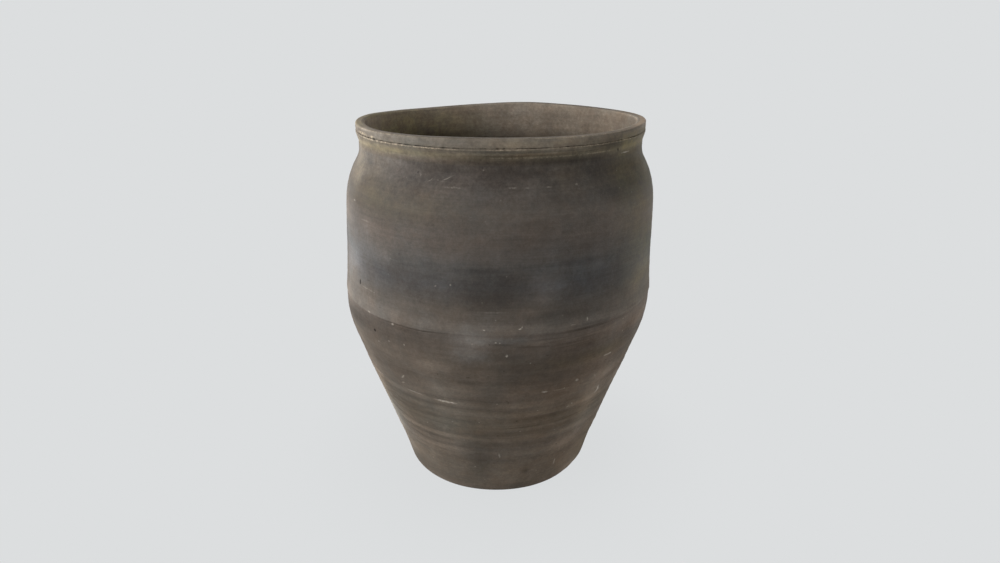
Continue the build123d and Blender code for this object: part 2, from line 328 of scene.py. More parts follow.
# Dark rings, tool lines, pits and smudges: as above
DARK_MARKS = [
    (34, 383.5, 130, 2.6, 0, 0.32), (30, 386, 60, 3.4, 2, 0.2), (16, 376.5, 50, 2, -1, 0.22),
    (30, 373, 80, 1.6, 2, 0.22), (10, 366, 40, 2.2, -3, 0.2), (24, 358, 60, 1.6, 3, 0.22),
    (-34, 384.5, 120, 2, 0, 0.15), (0.8, 371.5, 28, 3, -1, 0.3), (10, 178, 60, 2, 1, 0.34),
    (34, 180, 60, 2, 2, 0.26), (-32, 178, 90, 2, 0, 0.22), (-56, 432.5, 3.8, 6.6, 0, 1.7),
    (-46.4, 357, 4.6, 3.4, 10, 1.6), (16, 346.5, 4, 1.6, 0, 0.5), (2, 320, 2, 2, 0, 0.5), (-10, 303, 5, 2, 0, 1.0),
    (4.1, 245, 2.4, 2.2, 0, 0.7), (46.5, 668.5, 5.5, 2.6, -40, 1.6), (-43, 405, 3.4, 2, 0, 0.4),
    (-29.8, 641.5, 3.4, 2, 30, 0.6), (-6.3, 653.6, 2, 1.8, 0, 0.5), (-50, 444, 9, 2, 10, 0.25),
    (16, 319, 2, 2, 0, 0.4), (35, 320, 4, 2, 0, 0.35),
]

# Inside of the jar: tones, clouds, smoke and deposit, as outside. The tones are painted lighter than the clay, as
# painted light where the lamps reach little, and one cloud is painted shade over the glint on the lip's inner front
# edge
INNER_TONES_AND_PAINTED_LIGHT = [(0, "5a534a"), (300, "5c554b"), (560, "665d52"), (640, "70665a"), (690, "776c60"), (700, "786e62")]
INNER_CLOUDS_AND_PAINTED_SHADE = [
    (-130, 640, 50, 90, 0.08), (150, 640, 40, 90, 0.12), (90, 660, 30, 60, -0.15), (180, 692, 60, 26, 0.3),
    (0, 699, 70, 6, -0.55), (75, 698, 30, 8, 0.25), (92, 700, 34, 6, 0.34), (64, 700, 20, 5, 0.22),
    (52, 700.6, 26, 2.4, 0.3), (158, 672, 8, 16, -0.25), (168, 655, 32, 70, 0.17),
]
INNER_SMOKE = [(176, 640, 36, 90, 0.6), (-150, 640, 40, 80, 0.2)]
INNER_OLIVE = [(-95, 700, 34, 9, 0.7), (-130, 640, 60, 100, 0.9)]

# Each layer of the clay, kept as an attribute of the mesh: its clouds outside and inside. The lift and cream layers
# also carry painted light and shade.
CLAY_LAYERS = [
    ("lift", OUTER_CLOUDS_AND_PAINTED_LIGHT, INNER_CLOUDS_AND_PAINTED_SHADE),
    ("smoke", OUTER_SMOKE, INNER_SMOKE),
    ("olive", OUTER_OLIVE, INNER_OLIVE),
    ("rust", OUTER_RUST, []),
    ("cream", OUTER_CREAM_AND_HIGHLIGHT, []),
]

# Degrees at which the ridge bands change from left to middle to right, and how they wander up and down:
# (height, waves in a turn, shift in degrees from band to band)
BAND_STOPS = (-60, -35, -15, 10, 32, 60)
BAND_WANDER = [(0.9, 5, 67), (0.7, 11, 31)]
BAND_FADE = 0.7


def painted(across, height, spots):
    """Sum of soft oval clouds over the unrolled wall."""
    total = np.zeros(len(height))
    for centre, level, half_width, half_height, amount in spots:
        turn = (across - centre + 180) % 360 - 180
        distance = np.hypot(turn / half_width, (height - level) / half_height)
        total += amount * eased(np.clip(1 - distance, 0, 1))
    return total


def ridge_shade_and_tone_bands(across, height):
    """Sum of the level bands, painted ridge light and shade and tone, over the unrolled wall."""
    total = np.zeros(len(height))
    for number, (level, half_height, left, middle, right) in enumerate(RIDGE_SHADE_AND_TONE_BANDS):
        off_level = height - level
        for depth, waves, shift in BAND_WANDER:
            off_level -= depth * np.sin(np.radians(across * waves + shift * number))
        amounts = [BAND_FADE * left, left, middle, middle, right, BAND_FADE * right]
        amount = np.interp(across, BAND_STOPS, amounts)
        total += amount * np.exp(-((off_level / half_height) ** 2))
    return total


def plain_mesh(name, points, true_points, faces, sharp_rows, inside):
    """Smooth-shaded mesh with hard edges along whole rows, its inner faces marked and its clay in layers."""
    mesh = bpy.data.meshes.new(name)
    mesh.from_pydata(points, [], faces)
    mesh.polygons.foreach_set("use_smooth", np.ones(len(faces), bool))
    ends = np.empty(len(mesh.edges) * 2, np.int32)
    mesh.edges.foreach_get("vertices", ends)
    row = ends.reshape(-1, 2) // STEPS_ROUND
    hard = (row[:, 0] == row[:, 1]) & np.isin(row[:, 0], sharp_rows)
    mesh.attributes.new("sharp_edge", "BOOLEAN", "EDGE").data.foreach_set("value", hard)
    mesh.attributes.new("inside", "BOOLEAN", "FACE").data.foreach_set("value", inside)
    turned = mesh.attributes.new("turned", "FLOAT_VECTOR", "POINT")
    turned.data.foreach_set("vector", np.asarray(true_points, np.float32).ravel())
    x, y, height = true_points.T / MM
    across = np.degrees(np.arctan2(x, -y))
    inner = np.hypot(x, y) < wall.outside(wall.length_at(height))[:, 0] - WALL / 2
    for layer, outer_spots, inner_spots in CLAY_LAYERS:
        values = np.where(inner, painted(across, height, inner_spots), painted(across, height, outer_spots))
        # The lift layer also takes the level bands of painted ridge light and shade
        if layer == "lift":
            values += ridge_shade_and_tone_bands(across, height)
        mesh.attributes.new(layer, "FLOAT", "POINT").data.foreach_set("value", values)
    mesh.update()
    return mesh


def ring_points(rows):
    """Points, in metres, of rows of (radius, height) round the jar."""
    radius, height = rows[..., 0] * MM, rows[..., 1] * MM
    return np.stack([radius * np.cos(RADIANS), radius * np.sin(RADIANS), height], -1).reshape(-1, 3)


def ring_faces(count, closed):
    """Faces between neighbouring rows of a section, which may close on itself, and the row each starts from."""
    rows = np.arange(count if closed else count - 1)
    row, step = np.meshgrid(rows, np.arange(STEPS_ROUND), indexing="ij")
    next_row, next_step = (row + 1) % count, (step + 1) % STEPS_ROUND
    corners = [(row, step), (row, next_step), (next_row, next_step), (next_row, step)]
    return np.stack([r * STEPS_ROUND + s for r, s in corners], -1).reshape(-1, 4), row.ravel()


def ring_mesh(name, rows, sharp_rows, inside_from, true_rows=None):
    """Closed ring from rows of (radius, height) round the jar; its true rows are those before its wear."""
    faces, row = ring_faces(len(rows), closed=True)
    true_points = ring_points(rows if true_rows is None else true_rows)
    return plain_mesh(name, ring_points(rows), true_points, faces, sharp_rows, row >= inside_from)


def wall_ring(name, outer, inner, true_rows=None):
    """Ring of the wall, up the outside and down the inside, with hard edges at its two joints."""
    rows = np.concatenate([outer, inner])
    last = len(outer) - 1
    return ring_mesh(name, rows, [0, last, last + 1, len(rows) - 1], last, true_rows)


def course_rows(low, high):
    """Section of one course: up the outside from its lower joint, then down the inside."""
    start, end = wall.length_at(low), wall.length_at(high)
    outer = wall.outside(spaced(start, end, OUTER_ROW))
    inner = wall.inside(spaced(end + LAP, start + LAP, INNER_ROW))
    return round_rows(outer), round_rows(inner)


# How far the foot of the jar is out of round, by angle, easing off up the heel
FOOT_TRIM = around(
    (0, 2.2), (20, 1), (60, 0), (150, 0), (180, 1.4), (195, 1.6), (210, 0.8), (222, 0.6), (249, 0.9),
    (270, 0), (291, 0.2), (305, -0.6), (318, -2), (330, -1.8), (338, 0.6), (346, 2.8),
)
FOOT_HEIGHT = 88.0


def foot_worn(rows):
    """Rows of a section with the foot's uneven round."""
    near = np.clip(1 - rows[..., 1] / FOOT_HEIGHT, 0, 1) * np.clip(rows[..., 0] / BASE_RADIUS, 0, 1)
    rows[..., 0] += FOOT_TRIM * eased(near)
    return rows


# Base disc: its rounded foot, and the rows of its flat faces, which end short of the middle
FOOT_EDGE = 3.0
FOOT_ROUND = 0.9
DISC_ROWS = 12
DISC_MIDDLE = 8.0


def base_disc():
    """Floor slab with its bevelled edge, closed at the middle above and below."""
    start = wall.length_at(DISC_JOINT)
    edge = wall.outside(spaced(FOOT_EDGE, start, FOOT_ROW))
    bevel_top = wall.inside(start + LAP)
    under = np.linspace((DISC_MIDDLE, 0), (edge[0, 0] - FOOT_EDGE, 0), DISC_ROWS)
    upper = np.linspace((bevel_top[0], FLOOR), (DISC_MIDDLE, FLOOR), DISC_ROWS)
    section = np.concatenate([under, [(edge[0, 0] - FOOT_ROUND, FOOT_ROUND)], edge, upper])
    points = ring_points(foot_worn(round_rows(section)))
    quads, row = ring_faces(len(section), closed=False)
    first = list(range(STEPS_ROUND))
    last = [len(points) - STEPS_ROUND + step for step in first]
    bevel = len(under) + len(edge)
    faces = quads.tolist() + [first[::-1], last]
    inside = np.append(row >= bevel, [False, True])
    return plain_mesh("base_disc_clay", points, points, faces, [bevel, bevel + 1], inside)


# Floor coil: its legs along the floor and the wall, how far the thumb hollowed it, and its rows
COIL_LEG = 26.0
COIL_HOLLOW = 3.0
COIL_ROWS = 9


def floor_coil():
    """Clay pressed into the corner of floor and wall."""
    start = wall.length_at(DISC_JOINT) + LAP
    back = wall.inside(spaced(start, start + COIL_LEG, INNER_ROW))
    top, foot = back[-1], back[0] - (COIL_LEG, 0)
    middle = (foot + top) / 2 + (COIL_HOLLOW, -COIL_HOLLOW)
    share = np.linspace(0, 1, COIL_ROWS)[:, None]
    front = (1 - share) ** 2 * top + 2 * share * (1 - share) * middle + share**2 * foot
    rows = round_rows(np.concatenate([back, front[1:]]))
    return ring_mesh("floor_coil_clay", rows, [0, len(back) - 1, len(rows) - 1], 0)


def plain_course(name, low, high):
    """Course of the wall with nothing on it but the marks of the hand."""
    outer, inner = course_rows(low, high)
    return wall_ring(name, foot_worn(outer), inner)


# Strip over the belly joint inside
LUTE_HALF_HEIGHT = 22.0
LUTE_THICKNESS = 5.0
LUTE_ROW = 4.4


def belly_lute():
    """Strip of clay smeared over the belly joint inside."""
    middle = wall.length_at(BELLY_JOINT) + LAP
    along = spaced(middle - LUTE_HALF_HEIGHT, middle + LUTE_HALF_HEIGHT, LUTE_ROW)
    back = wall.inside(along)
    front = back[-2:0:-1].copy()
    front[:, 0] -= LUTE_THICKNESS * (1 - ((along[-2:0:-1] - middle) / LUTE_HALF_HEIGHT) ** 2)
    return ring_mesh("belly_lute_clay", round_rows(np.concatenate([back, front])), [0, len(back) - 1], 0)


# How far the foot of the upper half overhangs the lower half, round the jar, and how ragged its edge is
OVERHANG = around(
    (0, 1.2), (30, 1.6), (150, 1.6), (185, 1), (198, 1.2), (212, 2.2), (246, 2.2), (256, 0.4), (262, 0),
    (278, 0), (288, 0.5), (300, 0.5), (315, 0.8), (330, 1.2),
)
OVERHANG_RISE = 26.0
OVERHANG_RAGGED = 0.25


def belly_course():
    """Lowest course of the upper half, with its overhanging edge."""
    outer, inner = course_rows(BELLY_JOINT, SHOULDER_JOINT)
    edge = OVERHANG * (1 + OVERHANG_RAGGED * ring_noise(150, 3))
    share = np.clip(1 - (outer[:, 0, 1] - BELLY_JOINT) / OVERHANG_RISE, 0, 1)
    outer[..., 0] += share[:, None] * edge
    outer[0, :, 1] -= edge * SCARF
    return wall_ring("belly_course_clay", outer, inner)


# Crack under the rim band: its depth, its opening and lift round the jar, and how much of the opening is torn
# from the band above it and the strip below it, with the reach of the tear
CRACK_DEPTH = 5.0
CRACK = around(
    (0, 0.5), (170, 0.4), (190, 0.5), (203, 1.3), (238, 1.5), (255, 1.2), (270, 1.2), (285, 1.2), (300, 1.2),
    (325, 0.9), (340, 0.4),
)
CRACK_LIFT = around(
    (0, 1.6), (180, 1.2), (205, 0.4), (215, 0), (225, 0.3), (240, 0.2), (252, -0.2), (270, 0.1), (300, 0.6),
    (320, 1.4), (330, 1.8),
)
TORN_ABOVE = 0.7
TORN_BELOW = 0.3
REACH_ABOVE = 5.0
REACH_BELOW = 3.0

# Raised strip under the crack: its size, how far below it the neck ends, its bends and where the lift starts
STRIP_PROUD = 4.6
STRIP_HEIGHT = 17.0
STRIP_BEVEL = 13.0
STRIP_EASE = 4.0
STRIP_BENDS = [12.0, 2.5, 0.6]
LIFT_FROM = 666.0
LIFT_RISE = 14.0

# Tool grooves in the strip: height, depth and how strong they are round the jar
GROOVE_WIDTH = 0.9
GROOVES = [
    (678.4, 0.5, around((180, 0.1), (235, 0.2), (258, 0.9), (280, 0.8), (290, 0.1), (345, 0.3))),
    (681.2, 0.5, around((180, 0), (290, 0), (302, 0.9), (322, 0.8), (345, 0.2))),
    (674.0, 0.4, around((180, 0.1), (262, 0.2), (275, 0.9), (292, 0.8), (300, 0.1))),
    (677.0, 0.4, around((180, 0), (278, 0), (288, 0.9), (312, 0.8), (325, 0))),
    (671.8, 0.4, around((180, 0), (258, 0), (268, 0.9), (304, 0.8), (320, 0))),
]


def rim_seat_height(radius):
    """Height of the joint under the rim band at a radius."""
    return RIM_JOINT + (NECK_RADIUS - radius) * RIM_SEAT


# Bottom of the crack, where the rim band and the collar part
CRACK_RADIUS = NECK_RADIUS - CRACK_DEPTH
CRACK_BOTTOM = (CRACK_RADIUS, rim_seat_height(CRACK_RADIUS))


def crack_opening():
    """Height of the crack all round, ragged as torn clay is."""
    ragged = 0.55 + 0.75 * ring_noise(420, 5) + 0.5 * ring_noise(STEPS_ROUND, 6)
    return CRACK * np.clip(ragged, 0.05, 1.5)


def neck_collar():
    """Shoulder's end, neck and raised strip, up to the crack."""
    foot = RIM_JOINT - STRIP_HEIGHT
    start, end = wall.length_at(COLLAR_JOINT), wall.length_at(foot - STRIP_EASE)
    neck = wall.outside(spaced(start, end, OUTER_ROW))
    edge = NECK_RADIUS + STRIP_PROUD
    seat = rim_seat_height(edge)
    corners = [neck[-1], (neck[-1][0], foot), (edge, foot + STRIP_BEVEL), (edge, seat), CRACK_BOTTOM]
    strip = subdivided(bent_line(corners, STRIP_BENDS, arc_points=6), STRIP_ROW)
    section = np.concatenate([neck, strip[1:]])
    outer = round_rows(section)
    inner = round_rows(wall.inside(spaced(wall.length_at(RIM_JOINT) + RIM_LAP, start + LAP, INNER_ROW)))
    true_rows = np.concatenate([outer, inner])
    radius, height = section[:, 0, None], section[:, 1, None]
    for level, depth, strength in GROOVES:
        outer[..., 0] -= depth * strength * np.exp(-(((height - level) / GROOVE_WIDTH) ** 2))
    torn = np.clip(1 - (seat - height) / REACH_BELOW, 0, 1) * (radius > CRACK_RADIUS + 1)
    lifted = np.clip((height - LIFT_FROM) / LIFT_RISE, 0, 1)
    outer[..., 1] += lifted * CRACK_LIFT - TORN_BELOW * torn * crack_opening()
    return wall_ring("neck_collar_clay", outer, inner, true_rows)


# Rim band: where it is widest, how far it draws in below and above that, its bends and the trim of the lip
RIM_RADIUS = 267.7
RIM_WIDEST = HEIGHT - 9.0
RIM_DRAWN_BELOW = 0.4
RIM_DRAWN_ABOVE = 0.2
RIM_BENDS = [0.7, 14.0, 3.3, 4.0]
LIP_TRIM = around(
    (0, -0.6), (20, -0.8), (45, -0.7), (60, -0.8), (75, 0), (85, -0.4), (95, -1.1), (105, -0.9), (120, -0.2),
    (140, 0.4), (150, -0.3), (165, -1.1), (175, -2.2), (190, -3.6), (205, -3.6), (215, -3), (230, -1.6),
    (240, -1.1), (250, -0.6), (260, -0.6), (270, -0.9), (290, -0.7), (310, -0.6), (330, -0.8), (345, -0.7),
)


def rim_band():
    """Thick coil of the mouth, flat on top, with a ragged lower edge over the crack."""
    edge = RIM_RADIUS - RIM_DRAWN_BELOW
    foot = rim_seat_height(edge)
    inner_foot = wall.inside(wall.length_at(RIM_JOINT) + RIM_LAP)
    mouth = inner_foot[0]
    corners = [CRACK_BOTTOM, (edge, foot), (RIM_RADIUS, RIM_WIDEST)]
    corners += [(RIM_RADIUS - RIM_DRAWN_ABOVE, HEIGHT), (mouth + RIM_DRAWN_ABOVE, HEIGHT), inner_foot]
    band = subdivided(bent_line(corners, RIM_BENDS, arc_points=10), RIM_ROW)
    true_rows = round_rows(band)
    rows = true_rows.copy()
    radius, height = band[:, 0, None], band[:, 1, None]
    upper = np.clip((height - foot) / (HEIGHT - foot), 0, 1)
    outer = np.clip((radius - mouth) / (CRACK_RADIUS - mouth), 0, 1)
    torn = np.clip((radius - CRACK_RADIUS) / CRACK_DEPTH, 0, 1)
    torn *= np.clip(1 - (height - foot) / REACH_ABOVE, 0, 1)
    rows[..., 1] += upper * LIP_TRIM + (1 - upper) * outer * CRACK_LIFT + TORN_ABOVE * torn * crack_opening()
    inside_from = np.argmax((band[:, 0] < mouth + 1.2) & (band[:, 1] > RIM_JOINT + 4))
    return ring_mesh("rim_band_clay", rows, [0, len(band) - 1], inside_from, true_rows)


def linear(code):
    """sRGB hex colour as linear RGBA."""
    values = [int(code[k : k + 2], 16) / 255 for k in (0, 2, 4)]
    return [v / 12.92 if v <= 0.04045 else ((v + 0.055) / 1.055) ** 2.4 for v in values] + [1.0]


def add(tree, kind, inputs=(), out=0, **settings):
    """Add a node and give one of its outputs, or the node. Inputs are values or sockets, in order or by name."""
    made = tree.nodes.new(kind if "Node" in kind else "ShaderNode" + kind)
    for key, value in settings.items():
        setattr(made, key, value)
    for key, value in inputs.items() if isinstance(inputs, dict) else enumerate(inputs):
        if isinstance(value, bpy.types.NodeSocket):
            tree.links.new(value, made.inputs[key])
        else:
            made.inputs[key].default_value = value
    return made if out is None else made.outputs[out]


# Work of the hand: the jar's lean to the right in two stages, finger ridges of the lower wall, broad unevenness
# and fine level marks of the wheel; then the heights between which the lean grows, and the ridges grow and fade
HAND = {
    "Lean low": 2.4,
    "Lean high": 5.4,
    "Ridge pitch": 17.5,
    "Ridge depth": 0.7,
    "Unevenness": 0.5,
    "Wheel marks": 0.22,
}
LEANS = [("Lean low", 190.0, BELLY_JOINT), ("Lean high", BELLY_JOINT - 40, COLLAR_JOINT + 10)]
RIDGE_FADES = [(60.0, 110.0, 0.0, 1.0), (232.0, 292.0, 1.0, 0.12)]
RIDGE_WANDER = 5.0
WHEEL_STRETCH = (2.5, 2.5, 110.0)

# Uneven height of the lip as waves round it: (waves in a turn, height, shift in degrees), and where they start
LIP_WAVES = [(1, 1.3, 90.0), (2, 1.5, 23.0), (3, 1.3, 234.0), (4, 1.3, 104.0)]
WAVES_FROM = RIM_JOINT - 8


def hand_thrown_tree():
    """Geometry nodes that turn a true ring into clay worked by hand on a slow wheel."""
    tree = bpy.data.node_groups.new("hand_thrown", "GeometryNodeTree")
    put = partial(add, tree)
    kinds = {"Clay": "NodeSocketGeometry", **dict.fromkeys(HAND, "NodeSocketFloat")}
    kinds |= dict.fromkeys(("Outer clay", "Inner clay"), "NodeSocketMaterial")
    socket = {}
    for name, kind in kinds.items():
        socket[name] = tree.interface.new_socket(name, in_out="INPUT", socket_type=kind).identifier
    tree.interface.new_socket("Clay", in_out="OUTPUT", socket_type="NodeSocketGeometry")
    given = tree.nodes.new("NodeGroupInput").outputs
    place = put("GeometryNodeInputPosition")
    x, y, z = put("SeparateXYZ", (place,), None).outputs
    angle = put("Math", (y, x), operation="ARCTAN2")
    flat = put("CombineXYZ", (x, y))
    outwards = put("VectorMath", (flat,), operation="NORMALIZE")

    # Ridges climb one pitch in each turn of the wheel, and come and go
    turns = put("Math", (z, given["Ridge pitch"]), operation="DIVIDE")
    wander = put("TexNoise", {"Vector": place, "Scale": 9.0, "Detail": 1.0})
    phase = put("Math", (turns, math.tau, angle), operation="MULTIPLY_ADD")
    phase = put("Math", (wander, RIDGE_WANDER, phase), operation="MULTIPLY_ADD")
    ridge = put("Math", (phase,), operation="SINE")
    for low, high, start, stop in RIDGE_FADES:
        fade = put("MapRange", (z, low * MM, high * MM, start, stop), interpolation_type="SMOOTHSTEP")
        ridge = put("Math", (ridge, fade), operation="MULTIPLY")
    bump = put("Math", (ridge, given["Ridge depth"]), operation="MULTIPLY")

    # Broad unevenness of the hand, and fine level marks of the wheel
    streak = put("VectorMath", (place, WHEEL_STRETCH), operation="MULTIPLY")
    for vector, scale, depth in ((place, 4.5, given["Unevenness"]), (streak, 1.0, given["Wheel marks"])):
        noise = put("TexNoise", {"Vector": vector, "Scale": scale, "Detail": 2.0})
        swing = put("Math", (noise, 2.0, -1.0), operation="MULTIPLY_ADD")
        bump = put("Math", (swing, depth, bump), operation="MULTIPLY_ADD")
    moved = put("VectorMath", {0: outwards, "Scale": bump}, operation="SCALE")

    # The whole jar leans, more above the belly than below it
    for amount, low, high in LEANS:
        lean = put("MapRange", (z, low * MM, high * MM, 0.0, given[amount]))
        step = put("CombineXYZ", (lean,))
        moved = put("VectorMath", (moved, step), operation="ADD")

    # The lip rises and falls in waves that die out below the rim band
    height = 0.0
    for waves, depth, shift in LIP_WAVES:
        swing = put("Math", (angle, waves, math.radians(shift)), operation="MULTIPLY_ADD")
        swing = put("Math", (swing,), operation="SINE")
        height = put("Math", (swing, depth * MM, height), operation="MULTIPLY_ADD")
    rise = put("MapRange", (z, WAVES_FROM * MM, HEIGHT * MM), interpolation_type="SMOOTHSTEP")
    height = put("Math", (height, rise), operation="MULTIPLY")
    step = put("CombineXYZ", {2: height})
    moved = put("VectorMath", (moved, step), operation="ADD")

    worked = put("GeometryNodeSetPosition", {"Geometry": given["Clay"], "Offset": moved})
    inside = put("GeometryNodeInputNamedAttribute", {"Name": "inside"}, data_type="BOOLEAN")
    joined = put("GeometryNodeRealizeInstances", (worked,))
    outer = put("GeometryNodeSetMaterial", (joined, True, given["Outer clay"]))
    both = put("GeometryNodeSetMaterial", (outer, inside, given["Inner clay"]))
    put("NodeGroupOutput", (both,), None)
    return tree, socket


def placed(name, data):
    """New object in the scene."""
    made = bpy.data.objects.new(name, data)
    bpy.context.scene.collection.objects.link(made)
    return made


def hand_thrown(tree, socket, mesh, node, outer_clay, inner_clay):
    """Work a true ring by hand and let it stand for a piece of the jar."""
    piece = placed(mesh.name, mesh)
    worked = piece.modifiers.new("hand thrown", "NODES")
    worked.node_group = tree
    for name, length in HAND.items():
        worked[socket[name]] = length * MM
    worked[socket["Outer clay"]] = outer_clay
    worked[socket["Inner clay"]] = inner_clay
    seen = piece.evaluated_get(bpy.context.evaluated_depsgraph_get())
    piece.data = bpy.data.meshes.new_from_object(seen)
    piece.modifiers.clear()
    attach(piece, "root")
    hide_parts(node)


# Radius at which the wall is unrolled for its marks and the length of one degree there, and how much of a mark
# has its full strength and how ragged its edge is
MARK_RADIUS = 285.0
ARC = math.radians(1) * MARK_RADIUS
MARK_CORE = 0.15
MARK_RAGGED = (2.6, 2.2, 0)


def spread(put, place, marks):
    """Sum of oval marks over the unrolled wall."""
    total = 0.0
    for across, height, half_length, half_height, tilt, amount in marks:
        turned = {
            "Vector": place,
            "Location": (across * ARC, height, 0),
            "Rotation": (0, 0, math.radians(tilt)),
            "Scale": (half_length, half_height, 1),
        }
        spot = put("Mapping", turned, vector_type="TEXTURE")
        distance = put("VectorMath", (spot,), "Value", operation="LENGTH")
        mask = put("MapRange", (distance, MARK_CORE, 1.0, amount, 0.0), interpolation_type="SMOOTHSTEP")
        total = put("Math", (mask, total), operation="ADD")
    return total


def by_height(put, height, stops):
    """Colour at a height, blended between (height, hex colour or number) stops."""
    low, high = stops[0][0], stops[-1][0]
    share = put("MapRange", (height, low, high))
    ramp = put("ValToRGB", (share,), None)
    while len(ramp.color_ramp.elements) < len(stops):
        ramp.color_ramp.elements.new(1.0)
    for element, (level, colour) in zip(ramp.color_ramp.elements, stops):
        element.position = (level - low) / (high - low)
        element.color = linear(colour) if isinstance(colour, str) else (colour, colour, colour, 1)
    return ramp.outputs[0]


# Patterns of the clay: stretch along each axis, repeats to the metre, detail and roughness. They go from
# clouds of about 80 mm down to speckle of 7 mm and a sandy grain of 2.4 mm.
CLAY_PATTERNS = [
    ("cloud", (1, 1, 1), 13.0, 3.0, 0.5),
    ("mottle", (1, 1, 1.2), 20.0, 5.0, 0.74),
    ("stain", (1, 1, 1.3), 17.0, 5.0, 0.74),
    ("smear", (1, 1, 0.22), 38.0, 2.0, 0.6),
    ("wipe", (1, 1, 16), 4.0, 3.0, 0.5),
    ("brush", (1, 1, 22), 14.0, 3.0, 0.5),
    ("speckle", (1, 1, 1.1), 150.0, 3.0, 0.62),
    ("grain", (1, 1, 1), 420.0, 2.0, 0.6),
]

# How much of each pattern goes into the tone of the clay, and how much breaks up its stains
IN_TONE = [("cloud", 0.3), ("smear", 0.2), ("wipe", 0.26), ("brush", 0.3), ("grain", 0.34)]
IN_STAINS = [("cloud", 2.0), ("brush", 1.2), ("mottle", 3.0), ("speckle", 1.5)]

# How coarse the speckle of the clay is, by height: the neck is roughest
COARSENESS = [(0, 0.5), (330, 0.52), (410, 0.48), (590, 0.46), (640, 0.85), (684, 0.85), (700, 0.7)]

# Tints that smoke and deposit give, the swing from grey to rust, and the tones of pale lines and painted
# highlights, grit and pits
TINTS = [("smoke", (0.945, 1.0, 1.06, 1)), ("olive", (1.0, 1.0, 0.76, 1))]
RUST_SWING = (0.2, -0.05, -0.25)
CREAM = linear("a99b85")
GRIT = linear("a8a094")
PIT = linear("1f1b18")

# Specks between the marks: heights over which they thin out, and their strength below and above
SPECKS = (370, 430, 0.6, 0.2)

# Fired clay without a glaze has next to no gloss
GLOSS = 0.05
ROUGHNESS = 0.8


